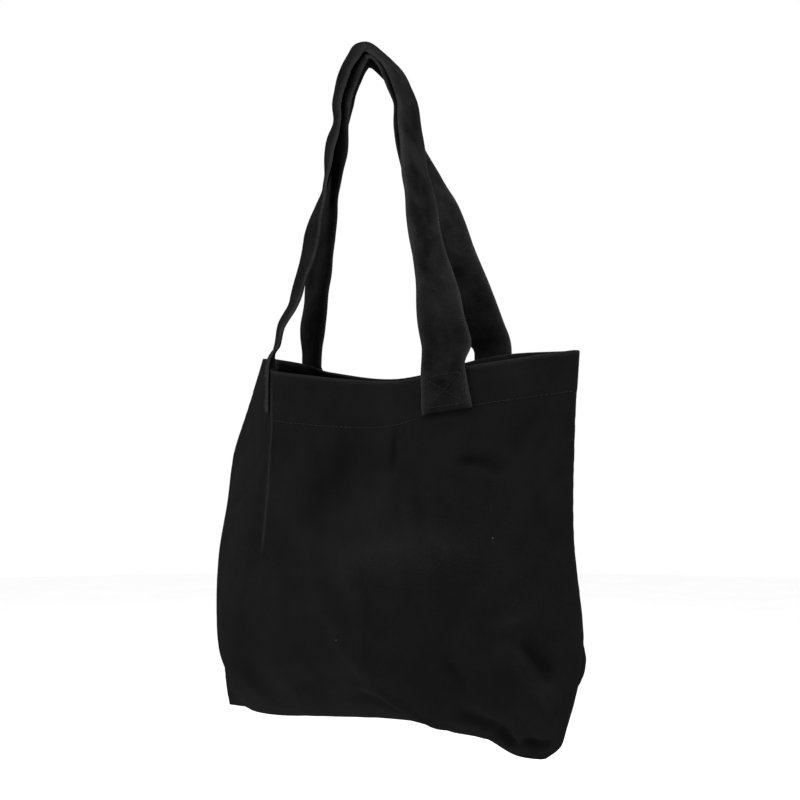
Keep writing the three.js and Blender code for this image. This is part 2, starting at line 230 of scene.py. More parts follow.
def cubic_weights(t):
    """How much each of four neighbours counts on a smooth line between the middle two."""
    return np.stack([
        (-t + 2 * t**2 - t**3) / 2,
        (2 - 5 * t**2 + 3 * t**3) / 2,
        (t + 4 * t**2 - 3 * t**3) / 2,
        (-(t**2) + t**3) / 2,
    ])


class Cloth:
    """The cloth's outer face, as a smooth surface through a grid of points."""

    def __init__(self, points):
        first = 2 * points[:, :1] - points[:, 1:2]
        last = 2 * points[:, -1:] - points[:, -2:-1]
        self.points = np.concatenate([first, points, last], axis=1)

    def face(self, place, drop):
        place, drop = np.broadcast_arrays(np.asarray(place, float), np.asarray(drop, float))
        column = place / SPACING
        row = np.clip(drop, 0, PANEL_DROP) / DROP_STEP
        i = np.floor(column).astype(int)
        j = np.clip(np.floor(row).astype(int), 0, len(DROPS) - 2)
        across = cubic_weights(column - i)
        down = cubic_weights(row - j)
        total = np.zeros(place.shape + (3,))
        for a in range(4):
            for b in range(4):
                neighbour = self.points[(i + a - 1) % len(PLACES), j + b]
                total += (across[a] * down[b])[..., None] * neighbour
        return total

    def normal(self, place, drop, step=0.6):
        along = self.face(place + step, drop) - self.face(place - step, drop)
        high = np.maximum(np.asarray(drop, float) - step, 0)
        low = np.minimum(np.asarray(drop, float) + step, PANEL_DROP)
        return unit(np.cross(along, self.face(place, low) - self.face(place, high)))

    def at(self, place, drop, height=0.0):
        """The point at a height above the outer face. The relief of the cloth is included."""
        raised = np.asarray(height, float) + fine_relief(place, drop)
        return self.face(place, drop) + self.normal(place, drop) * raised[..., None]


# ---- Relief: folds, creases and dents, each along a line of (place, drop) spots ----


def along_line(place, drop, spots):
    """The distance from a line on the cloth, and the share of the way along its nearest point."""
    spots = np.array(spots, float)
    lengths = np.linalg.norm(np.diff(spots, axis=0), axis=1)
    total = lengths.sum()
    best = np.full(np.broadcast(place, drop).shape, np.inf)
    share = np.zeros_like(best)
    walked = 0.0
    for start, end, length in zip(spots[:-1], spots[1:], lengths):
        step = (end - start) / length
        out = (place - start[0]) * step[0] + (drop - start[1]) * step[1]
        out = np.clip(out, 0, length)
        distance = np.hypot(place - start[0] - out * step[0], drop - start[1] - out * step[1])
        nearer = distance < best
        best = np.where(nearer, distance, best)
        share = np.where(nearer, (walked + out) / total, share)
        walked += length
    return best, share


def fold(place, drop, spots, width, height, fade=0.35):
    """A ridge, or a valley where height is negative, that fades out towards both of its ends."""
    distance, share = along_line(place, drop, spots)
    ends = np.clip(np.minimum(share, 1 - share) / fade, 0, 1) if fade else 1.0
    return height * np.exp(-((distance / width) ** 2)) * (ends * ends * (3 - 2 * ends) if fade else 1.0)


# Each is a line of spots, a half-width, a height and the share of the line that each end fades over.
BIG_FOLDS = [
    ([(187, 42), (199, 79), (212, 118), (214, 135)], 12, -7.5, 0.3),
    ([(144, 60), (158, 100), (172, 135)], 15, 2.5, 0.35),
    ([(222, 146), (200, 149), (144, 140), (70, 141), (40, 134)], 18, 8.0, 0.3),
    ([(90, 70), (76, 72), (62, 75), (40, 84)], 5, -5.0, 0.3),
    ([(20, 38), (34, 55), (48, 75)], 9, -3.5, 0.3),
    ([(22, 52), (20, 76)], 6, -2.5, 0.4),
    ([(27, 70), (20, 95), (12, 125)], 5, 3.0, 0.4),
    ([(56, 209), (42, 219), (30, 237), (18, 252), (8, 266)], 5.5, 4.5, 0.25),
    ([(44, 208), (30, 225), (17, 243)], 6, -4.5, 0.35),
    ([(90, 216), (82, 228), (72, 243)], 4, -2.5, 0.35),
    ([(84, 252), (69, 267), (53, 279), (40, 283)], 7, -5.0, 0.3),
    ([(53, 279), (46, 295), (36, 312)], 6, -6.0, 0.3),
    ([(34, 294), (20, 298), (4, 296)], 6, -5.0, 0.3),
    ([(744, 212), (743, 248)], 8, 3.2, 0.4),
    ([(178, 262), (150, 266), (125, 272), (101, 280), (84, 292)], 6, 3.0, 0.3),
    ([(195, 262), (160, 272), (120, 284), (95, 296)], 9, -4.0, 0.3),
    ([(262, 98), (283, 122), (300, 140)], 5, 1.4, 0.3),
    ([(254, 92), (284, 112), (302, 128)], 4, 1.8, 0.3),
    ([(262, 82), (290, 100), (304, 110)], 4, 1.8, 0.3),
    ([(258, 210), (250, 250), (235, 280)], 12, -3.0, 0.4),
    ([(600, 60), (610, 120), (590, 170)], 12, -5.0, 0.35),
    ([(660, 90), (650, 150), (665, 210)], 11, -4.0, 0.35),
    ([(540, 180), (600, 195), (680, 185)], 18, 5.0, 0.35),
    ([(560, 240), (620, 252), (700, 236)], 10, -4.0, 0.35),
    ([(700, 60), (712, 140)], 9, 3.5, 0.4),
    ([(420, 120), (440, 180), (430, 240)], 12, -4.0, 0.35),
    ([(157, 34), (155, 55), (152, 80)], 4, -2.2, 0.35),
    ([(30, 58), (22, 100), (19, 150)], 7, -2.6, 0.35),
    ([(112, 78), (98, 110), (90, 150)], 6, 2.0, 0.35),
    ([(190, 256), (150, 260), (112, 268)], 5, 2.4, 0.3),
    ([(64, 200), (44, 198), (28, 190)], 4, 2.4, 0.35),
]
CREASE = [(249.5, 0), (249.5, 60), (247, 94), (246, 120), (245, 150)]

# FOLD_STRENGTH scales the height of every big fold. FOLD_PAINTED_SHADE_AND_WEAR paints the cloth's colour
# lighter along the big ridges, partly as faded canvas and partly as a painted highlight, and darker in the
# hollows as painted shade, which adds to the contrast that the light gives them.
FOLD_STRENGTH = 1.3
FOLD_PAINTED_SHADE_AND_WEAR = 0.14

SMALL_FOLDS = [
    (CREASE, 1.3, 1.2, 0.1),
    ([(160, 2), (150, 50), (138, 90), (128, 130)], 1.2, -0.5, 0.2),
]


# Local pulls on the cloth: the spot's place and drop, its reach along and down, and the shift (x, y, z).
PULLS = [
    ((32, 322), (26, 24), (0, 0, -4)),
    ((82, 322), (32, 26), (0, 0, 3)),
    ((120, 300), (45, 30), (0, 0, 4)),
    ((4, 300), (22, 24), (6, 0, -3)),
    ((340, 85), (60, 30), (-5, -4, 0)),
]


def pulled(place, drop):
    """The shift of each spot. A pull near the bottom seam acts on both panels alike."""
    total = np.zeros(np.broadcast(place, drop).shape + (3,))
    for (at_place, at_drop), (along, down), shift in PULLS:
        from_front = np.abs(place - at_place)
        from_back = np.abs(GIRTH - place - at_place)
        near = np.exp(-((np.minimum(from_front, from_back) / along) ** 2) - ((drop - at_drop) / down) ** 2)
        total += near[..., None] * np.array(shift, float)
    return total


def big_relief(place, drop):
    folds = (fold(place, drop, *each) for each in BIG_FOLDS)
    return FOLD_STRENGTH * sum(folds, np.zeros(np.broadcast(place, drop).shape))


def hem_drop(place):
    """How deep the hem is. It was sewn deeper towards the front's left side."""
    return HEM_DROP + HEM_DEEPENING * smoothstep(place, 60, 230) * (1 - smoothstep(place, 340, PANEL_WIDTH))


def fine_relief(place, drop):
    place, drop = np.broadcast_arrays(np.asarray(place, float), np.asarray(drop, float))
    total = np.zeros(place.shape)
    hem = 1 / (1 + np.exp(np.clip((drop - hem_drop(place)) / 0.8, -30, 30)))
    total += 0.4 * hem
    total -= 0.35 * np.exp(-(((drop - hem_drop(place) + STITCH_INSET) / 1.3) ** 2))
    for each in SMALL_FOLDS:
        total += fold(place, drop, *each)
    return total


# ---- Meshes ----


def add_mesh(name, points, faces, uvs, material, wear_and_painted_shade=None):
    """A mesh from points in bag millimetres. uvs is one pair of metres for each corner of each face."""
    mesh = bpy.data.meshes.new(name)
    mesh.from_pydata(((np.asarray(points) - HANG_POINT) * MM).tolist(), [], np.asarray(faces).tolist())
    layer = mesh.uv_layers.new(name="UVMap")
    layer.data.foreach_set("uv", np.asarray(uvs, np.float32).ravel())
    # Per-point wear, which on the body panels also holds a painted highlight on fold ridges and painted shade
    # in fold hollows.
    attribute = mesh.attributes.new("wear_and_painted_shade", "FLOAT", "POINT")
    attribute.data.foreach_set("value", np.zeros(len(points), np.float32) if wear_and_painted_shade is None else wear_and_painted_shade)
    mesh.polygons.foreach_set("use_smooth", np.ones(len(mesh.polygons), bool))
    mesh.update()
    obj = bpy.data.objects.new(name, mesh)
    bpy.context.scene.collection.objects.link(obj)
    obj.data.materials.append(material)
    return obj


def closed_sheet(name, outer, inner, u, v, material, wear_and_painted_shade=None):
    """A closed mesh between two grids of points [column, row, xyz]. u and v are in millimetres."""
    columns, rows = outer.shape[:2]
    layer = columns * rows
    ids = np.arange(2 * layer).reshape(2, columns, rows)

    def quads(a, b, c, d):
        return np.stack([a.ravel(), b.ravel(), c.ravel(), d.ravel()], axis=1)

    front, back = ids
    faces = np.concatenate([
        quads(front[:-1, :-1], front[1:, :-1], front[1:, 1:], front[:-1, 1:]),
        quads(back[:-1, :-1], back[:-1, 1:], back[1:, 1:], back[1:, :-1]),
        quads(back[:-1, 0], back[1:, 0], front[1:, 0], front[:-1, 0]),
        quads(front[:-1, -1], front[1:, -1], back[1:, -1], back[:-1, -1]),
        quads(front[0, :-1], front[0, 1:], back[0, 1:], back[0, :-1]),
        quads(back[-1, :-1], back[-1, 1:], front[-1, 1:], front[-1, :-1]),
    ])
    flat = np.stack(np.broadcast_arrays(u, v), axis=-1).reshape(-1, 2) * MM
    uvs = np.concatenate([flat, flat])[faces]
    points = np.concatenate([outer.reshape(-1, 3), inner.reshape(-1, 3)])
    faded_and_shaded = None
    if wear_and_painted_shade is not None:
        faded_and_shaded = np.tile(np.broadcast_to(wear_and_painted_shade, (columns, rows)).ravel(), 2).astype(np.float32)
    return add_mesh(name, points, faces, uvs, material, faded_and_shaded)


def stitches(name, runs, material, thickness=0.7, length=3.0):
    """Thread along runs of points. Each run is (points, normals), and each stitch is a low arch."""
    sides = 6
    share = np.array([0.0, 0.06, 0.25, 0.5, 0.75, 0.94, 1.0])
    girth = np.array([0.35, 0.75, 1.0, 1.0, 1.0, 0.75, 0.35])
    arch = np.array([-0.5, 0.0, 0.35, 0.45, 0.35, 0.0, -0.5]) * thickness
    points, faces = [], []
    for line, normals in runs:
        walked = lengths_along(line)
        count = max(1, int(walked[-1] / (length + 0.6)))
        pitch = walked[-1] / count
        for k in range(count):
            where = (k + 0.09) * pitch + share * pitch * 0.82
            middle = np.stack([np.interp(where, walked, line[:, axis]) for axis in range(3)], axis=1)
            up = unit(np.stack([np.interp(where, walked, normals[:, axis]) for axis in range(3)], axis=1))
            ahead = unit(np.gradient(middle, axis=0))
            side = unit(np.cross(ahead, up))
            start = sum(len(ring) for ring in points)
            for ring in range(len(share)):
                turn = np.arange(sides) * 2 * math.pi / sides
                spread = girth[ring] * thickness / 2
                centre = middle[ring] + up[ring] * arch[ring]
                points.append(
                    centre + spread * (np.cos(turn)[:, None] * side[ring] + np.sin(turn)[:, None] * up[ring])
                )
                if ring:
                    here = start + ring * sides
                    for s in range(sides):
                        after = (s + 1) % sides
                        faces.append((here - sides + s, here - sides + after, here + after, here + s))
            faces.append((start + 1, start, start + 5, start + 2))
            faces.append((start + 2, start + 5, start + 4, start + 3))
            tip = start + (len(share) - 1) * sides
            faces.append((tip, tip + 1, tip + 2, tip + 5))
            faces.append((tip + 5, tip + 2, tip + 3, tip + 4))
    points = np.concatenate(points)
    faces = np.array(faces)
    uvs = np.zeros((len(faces), 4, 2))
    uvs[..., 0] = (faces % (sides * len(share))) // sides * 0.5 * MM
    uvs[..., 1] = faces % sides * 0.3 * MM
    return add_mesh(name, points, faces, uvs, material)


# ---- Materials ----


class Nodes:
    """Adds shader nodes to a material and joins them up."""

    def __init__(self, name):
        self.material = bpy.data.materials.new(name)
        self.material.use_nodes = True
        self.tree = self.material.node_tree
        self.shader = self.tree.nodes["Principled BSDF"]

    def add(self, kind, settings=(), **inputs):
        node = self.tree.nodes.new(kind)
        for key, value in dict(settings).items():
            setattr(node, key, value)
        for key, value in inputs.items():
            self.set(node, key.replace("_", " "), value)
        return node

    def set(self, node, key, value):
        socket = node.inputs[int(key)] if key.isdigit() else node.inputs[key]
        if isinstance(value, bpy.types.NodeSocket):
            self.tree.links.new(value, socket)
        else:
            socket.default_value = value

    def math(self, operation, *values):
        node = self.add("ShaderNodeMath", {"operation": operation})
        for i, value in enumerate(values):
            self.set(node, str(i), value)
        return node.outputs[0]

    def remap(self, value, low, high, to_low=0.0, to_high=1.0):
        node = self.add("ShaderNodeMapRange", {"clamp": True})
        for i, each in enumerate((value, low, high, to_low, to_high)):
            self.set(node, str(i), each)
        return node.outputs[0]

    def grey(self, value):
        node = self.add("ShaderNodeCombineColor")
        for i in range(3):
            self.set(node, str(i), value)
        return node.outputs[0]


def cloth_material(name, tone, pitch=0.9, faded_and_shaded_tone=0.009, sheen=0.005, mottle=0.12, patches=24.0):
    """Plain-woven cotton canvas. tone is its reflectance, and pitch is one thread in millimetres."""
    nodes = Nodes(name)
    uv = nodes.add("ShaderNodeUVMap", {"uv_map": "UVMap"}).outputs["UV"]
    place = nodes.add("ShaderNodeTexCoord").outputs["Object"]
    drift = nodes.add("ShaderNodeTexNoise", Vector=uv, Scale=260.0, Detail=2.0)
    bent = nodes.add("ShaderNodeVectorMath", {"operation": "SCALE"}, Scale=0.0004)
    nodes.set(bent, "0", drift.outputs["Color"])
    moved = nodes.add("ShaderNodeVectorMath", {"operation": "ADD"})
    nodes.set(moved, "0", uv)
    nodes.set(moved, "1", bent.outputs[0])
    split = nodes.add("ShaderNodeSeparateXYZ")
    nodes.set(split, "0", moved.outputs[0])
    turns = math.pi / (pitch * MM)
    warp = nodes.math("SINE", nodes.math("MULTIPLY", split.outputs[0], turns))
    weft = nodes.math("SINE", nodes.math("MULTIPLY", split.outputs[1], turns))
    weave = nodes.math("MULTIPLY", warp, weft)
    slub = nodes.add("ShaderNodeTexNoise", Vector=place, Scale=900.0, Detail=3.0, Roughness=0.6).outputs[0]
    cloud_noise = nodes.add("ShaderNodeTexNoise", Vector=place, Scale=patches, Detail=5.0, Roughness=0.62)
    clouds = cloud_noise.outputs[0]
    lint_spots = nodes.add("ShaderNodeTexVoronoi", {"feature": "F1"}, Vector=place, Scale=36.0)
    lint = nodes.remap(lint_spots.outputs["Distance"], 0.022, 0.014)
    # The per-point value read here changes the tone: on rims, creases and strap edges it is wear, while on
    # the body panels it also paints a highlight along the big fold ridges and, below zero, painted shade in
    # the fold hollows.
    wear_and_painted_shade = nodes.add("ShaderNodeAttribute", {"attribute_name": "wear_and_painted_shade"}).outputs["Fac"]
    faded_and_shaded_fuzz = nodes.math("MULTIPLY", wear_and_painted_shade, nodes.remap(slub, 0.35, 0.65, 0.35, 1.0))
    shade = nodes.remap(clouds, 0.36, 0.64, 1 - mottle, 1 + mottle)
    shade = nodes.math("MULTIPLY", shade, nodes.remap(weave, -1.0, 1.0, 0.86, 1.14))
    shade = nodes.math("MULTIPLY", shade, nodes.remap(slub, 0.25, 0.75, 0.85, 1.15))
    value = nodes.math("MULTIPLY", shade, tone)
    value = nodes.math("ADD", value, nodes.math("MULTIPLY", faded_and_shaded_fuzz, faded_and_shaded_tone))
    value = nodes.math("ADD", value, nodes.math("MULTIPLY", lint, 0.04))
    nodes.set(nodes.shader, "Base Color", nodes.grey(value))
    nodes.set(nodes.shader, "Roughness", nodes.remap(slub, 0.3, 0.7, 0.82, 0.96))
    nodes.set(nodes.shader, "Specular IOR Level", 0.0)
    nodes.set(nodes.shader, "Sheen Weight", sheen)
    nodes.set(nodes.shader, "Sheen Roughness", 0.55)
    nodes.set(nodes.shader, "Sheen Tint", (0.5, 0.5, 0.5, 1))
    height = nodes.math("ADD", nodes.math("MULTIPLY", weave, 0.5), nodes.math("MULTIPLY", slub, 1.2))
    bump = nodes.add("ShaderNodeBump", Strength=0.35, Distance=0.00025, Height=height)
    nodes.set(nodes.shader, "Normal", bump.outputs[0])
    return nodes.material


def thread_material(name, tone):
    """Twisted sewing thread, a little glossier than the cloth."""
    nodes = Nodes(name)
    uv = nodes.add("ShaderNodeUVMap", {"uv_map": "UVMap"}).outputs["UV"]
    split = nodes.add("ShaderNodeSeparateXYZ")
    nodes.set(split, "0", uv)
    slope = nodes.math("ADD", split.outputs[0], split.outputs[1])
    twist = nodes.math("SINE", nodes.math("MULTIPLY", slope, 2 * math.pi / (0.5 * MM)))
    nodes.set(nodes.shader, "Base Color", nodes.grey(nodes.remap(twist, -1.0, 1.0, tone * 0.75, tone * 1.25)))
    nodes.set(nodes.shader, "Roughness", 0.6)
    nodes.set(nodes.shader, "Specular IOR Level", 0.08)
    nodes.set(nodes.shader, "Sheen Weight", 0.03)
    nodes.set(nodes.shader, "Sheen Roughness", 0.4)
    nodes.set(nodes.shader, "Sheen Tint", (0.5, 0.5, 0.5, 1))
    bump = nodes.add("ShaderNodeBump", Strength=0.5, Distance=0.0002, Height=twist)
    nodes.set(nodes.shader, "Normal", bump.outputs[0])
    return nodes.material


def floor_material():
    nodes = Nodes("pale_floor")
    grain = nodes.add("ShaderNodeTexNoise", Scale=60.0, Detail=3.0).outputs[0]
    nodes.set(nodes.shader, "Base Color", nodes.grey(nodes.remap(grain, 0.3, 0.7, 0.9, 0.93)))
    nodes.set(nodes.shader, "Roughness", 0.9)
    return nodes.material


CANVAS_CLOTH = cloth_material("black_canvas", 0.0037)
TURNED_CLOTH = cloth_material("turned_canvas", 0.0026)
STRAP_CLOTH = cloth_material("strap_canvas", 0.0036, pitch=0.8, mottle=0.42, patches=42.0)
THREAD = thread_material("black_thread", 0.003)

# ---- Cloth simulation of the bag body ----

# The bag's shape comes from its levels and folds. Of the simulation's moves only the fine part is kept, at
# SIM_SHARE of its size and SIM_REACH millimetres at most.
SIM_FRAMES = 16
SIM_SHARE = 0.35
SIM_REACH = 2.0
SIM_BLUR = 5


def blurred(field, cells):
    """The broad part of a field on the grid, round the bag and down it."""
    for _ in range(3):
        round_bag = sum(np.roll(field, shift, axis=0) for shift in range(-cells, cells + 1))
        padded = np.pad(round_bag, ((0, 0), (cells, cells), (0, 0)), mode="reflect")
        rows = field.shape[1]
        field = sum(padded[:, start:start + rows] for start in range(2 * cells + 1)) / (2 * cells + 1) ** 2
    return field


def let_cloth_settle(points):
    """Lets the body's cloth buckle into soft wrinkles. Its rim, seams and bottom stay where they are."""
    columns, rows = points.shape[:2]
    ids = np.arange(columns * rows).reshape(columns, rows)
    after = np.roll(ids, -1, axis=0)
    faces = np.stack([ids[:, :-1], after[:, :-1], after[:, 1:], ids[:, 1:]], axis=-1).reshape(-1, 4)
    mesh = bpy.data.meshes.new("settling_cloth")
    mesh.from_pydata((points.reshape(-1, 3) * MM).tolist(), [], faces.tolist())
    obj = bpy.data.objects.new("settling_cloth", mesh)
    bpy.context.scene.collection.objects.link(obj)
    from_seam = np.abs((PLACES + PANEL_WIDTH / 2) % PANEL_WIDTH - PANEL_WIDTH / 2)[:, None]
    held_seam = np.exp(-((from_seam / 8) ** 2))
    held_rim = np.exp(-((DROPS / 36) ** 4))
    held_bottom = np.exp(-(((PANEL_DROP - DROPS) / 9) ** 2))
    held = held_seam + held_rim + held_bottom
    group = obj.vertex_groups.new(name="held")
    for index, weight in enumerate(np.clip(held, 0.04, 1).ravel()):
        group.add([index], float(weight), "REPLACE")
    cloth = obj.modifiers.new("cloth", "CLOTH")
    settings = cloth.settings
    settings.quality = 6
    settings.mass = 0.25
    settings.tension_stiffness = 12
    settings.compression_stiffness = 12
    settings.shear_stiffness = 4
    settings.bending_stiffness = 2.0
    settings.shrink_min = -0.03
    settings.vertex_group_mass = "held"
    settings.pin_stiffness = 0.6
    settings.effector_weights.gravity = 0.4
    cloth.collision_settings.use_collision = False
    cloth.point_cache.frame_end = SIM_FRAMES
    scene = bpy.context.scene
    for number in range(1, SIM_FRAMES + 1):
        scene.frame_set(number)
    evaluated = obj.evaluated_get(bpy.context.evaluated_depsgraph_get())
    settled = np.empty(len(mesh.vertices) * 3, np.float32)
    evaluated.data.vertices.foreach_get("co", settled)
    settled = settled.reshape(points.shape).astype(float) / MM
    bpy.data.objects.remove(obj)
    scene.frame_set(1)
    move = settled - points
    move = SIM_SHARE * (move - blurred(move, SIM_BLUR))
    size = np.linalg.norm(move, axis=-1, keepdims=True)
    move *= SIM_REACH * np.tanh(size / SIM_REACH) / np.maximum(size, 1e-6)
    return points + move


def make_cloth():
    base = Cloth(plain_shell())
    place, drop = np.meshgrid(PLACES, DROPS, indexing="ij")
    points = base.face(place, drop) + base.normal(place, drop) * big_relief(place, drop)[..., None]
    points += pulled(place, drop)
    points = let_cloth_settle(points)
    return Cloth(points)


cloth = make_cloth()

# ---- The bag body ----

BODY = "bag_body"


def steps_between(low, high, step):
    return np.linspace(low, high, max(2, round((high - low) / step) + 1))


def panel(name, seam_before, nodes):
    """One panel. Its cloth runs up the outside, folds over the rim and runs down inside as the hem."""
    places = steps_between(seam_before + GAP, seam_before + PANEL_WIDTH - GAP, 2.5)
    near_crease = np.abs(places - COLUMN_AT["crease"]) < 10
    fine = steps_between(COLUMN_AT["crease"] - 10, COLUMN_AT["crease"] + 10, 0.7) if near_crease.any() else []
    places = np.sort(np.concatenate([places[~near_crease], fine]))
    fold_radius = (CANVAS + GAP) / 2
    outside = steps_between(fold_radius, PANEL_DROP, 2.5)[::-1]
    turn = np.linspace(0, math.pi, 7)[1:-1]
    inside = steps_between(fold_radius, HEM_DROP, 2.5)
    drops = np.concatenate([outside, fold_radius - fold_radius * np.sin(turn), inside])
    depths = np.concatenate([
        np.zeros(len(outside)),
        fold_radius * (1 - np.cos(turn)),
        np.full(len(inside), 2 * fold_radius),
    ])
    angle = np.concatenate([np.zeros(len(outside)), turn, np.full(len(inside), math.pi)])
    middle_height = -CANVAS / 2 - depths
    half = CANVAS / 2
    place_grid = places[:, None]

    def face(side):
        depth = drops * np.where(angle == math.pi, hem_drop(place_grid) / HEM_DROP, 1)
        drop = depth - side * half * np.sin(angle)
        return cloth.at(place_grid, np.maximum(drop, 0), middle_height + side * half * np.cos(angle)) + (
            up_off_rim(place_grid, drop)
        )

    lengths = np.concatenate([[0], np.cumsum(np.hypot(np.diff(drops), np.diff(depths)))])
    wear_and_painted_shade = 0.5 * np.exp(-((drops / 1.5) ** 2)) + fold(place_grid, drops, CREASE, 1.0, 0.6, 0.15)
    # Besides the worn rim and crease, the body's colour is painted lighter along the big fold ridges (partly
    # faded canvas, partly painted highlight) and darker in the fold hollows (painted shade).
    wear_and_painted_shade = wear_and_painted_shade + FOLD_PAINTED_SHADE_AND_WEAR * np.clip(big_relief(place_grid, drops) / 9, -0.35, 1)
    obj = closed_sheet(name, face(-1), face(1), place_grid, lengths[None, :], CANVAS_CLOTH, wear_and_painted_shade)
    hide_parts(*nodes)
    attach(obj, BODY)
    return obj


def up_off_rim(place, drop):
    """The extra step of a point that lies above the rim, where drop is below 0."""
    down = unit(cloth.face(place, 1.0) - cloth.face(place, 0.0))
    return down * np.minimum(drop, 0)[..., None]


panel("front_cloth", 0.0, ["front_panel", "front_hem"])
panel("back_cloth", PANEL_WIDTH, ["back_panel", "back_hem"])

# ---- Handles ----

# The middle of each strap from its right foot to its left one, as (x, y, z, heading, cup). heading is the
# way its width points, in degrees about +Z, and cup is how many degrees its width curls through.
FRONT_HANDLE = {
    "feet": (TAB_AT["front_right"], TAB_AT["front_left"]),
    "foot_headings": (20, 131),
    "route": [
        (105, -38, 310, 38, 0), (99, -37, 330, 56, 0), (93, -35, 356, 70, 0), (87, -34, 377, 80, 0),
        (78, -32, 406, 90, 0), (70, -28, 436, 94, 12), (65, -25, 457, 98, 25), (60, -21, 480, 101, 45),
        (56, -17, 500, 104, 65), (48, -16, 518, 110, 90), (39, -18, 532, 118, 100), (30, -23, 542, 126, 104),
        (20, -29, 550, 129, 106), (13, -35, 548, 129, 108), (9, -38, 541, 129, 108), (5, -42, 531, 129, 105),
        (2, -46, 517, 129, 100), (0, -49, 501, 129, 85), (1, -50, 488, 132, 66), (0, -53, 477, 136, 56),
        (0, -56, 465, 137, 46), (1, -58, 450, 136, 38), (0, -60, 433, 135, 20), (-2, -63, 420, 142, 10),
        (-6, -64, 408, 146, 5), (-10, -65, 390, 147, 0), (-16, -65, 371, 146, 0), (-26, -68, 345, 144, 0),
        (-36, -70, 327, 141, 0), (-41, -70, 311, 139, 0),
    ],
}
BACK_HANDLE = {
    "feet": (TAB_AT["back_right"], TAB_AT["back_left"]),
    "foot_headings": (172, 334),
    "route": [
        (94, 27, 319, 192, 0), (84, 17, 351, 210, 0), (75, 10, 379, 224, 0), (68, 5, 406, 239, 0),
        (63, 2, 424, 249, 10), (52, -6, 454, 264, 25), (47, -11, 482, 282, 50), (46, -11, 501, 287, 72),
        (41, -16, 518, 294, 100), (33, -20, 532, 304, 106), (25, -25, 542, 309, 112),
        (17, -31, 543, 309, 118),
        (12, -35, 536, 309, 122), (9, -38, 527, 309, 122), (6, -42, 514, 309, 116), (5, -44, 502, 309, 100),
        (3, -44, 489, 312, 90), (0, -43, 478, 318, 86), (-3, -42, 467, 323, 70), (-7, -41, 452, 328, 40),
        (-12, -39, 435, 333, 15), (-18, -37, 410, 338, 0), (-25, -36, 378, 340, 0), (-30, -36, 354, 341, 0),
        (-35, -34, 331, 341, 0), (-38, -32, 316, 340, 0),
    ],
}


# How far each sewn end leans, as places along the rim for each millimetre of drop.
TAB_LEAN = {TAB_AT["front_right"]: -0.3}


def tab_lean(place, drop):
    return TAB_LEAN.get(place, 0.0) * (drop - TAB_DROP / 2)


def strap_wrinkles(along, across):
    """Soft hollows and waves in a strap, in millimetres of height."""
    return (
        1.3 * np.sin(along / 17 + 0.9 * np.sin(across / 9 + along / 31)) * np.cos(across / 13 + along / 53)
        + 0.6 * np.sin(along / 8.5 + across / 7 + 1.3) * np.sin(along / 37 + 0.6)
        + 0.25 * np.sin(along / 4.7 - across / 5.5) * np.sin(along / 23 + across / 17)
    )


def place_beside(place, distance, drop=TAB_DROP / 2):
    """The place that lies a distance in millimetres along the cloth from another place."""
    reach = 60
    places = place + np.arange(-reach, reach + 1.0)
    walked = lengths_along(cloth.face(places, drop))
    return np.interp(walked[reach] + distance, walked, places)


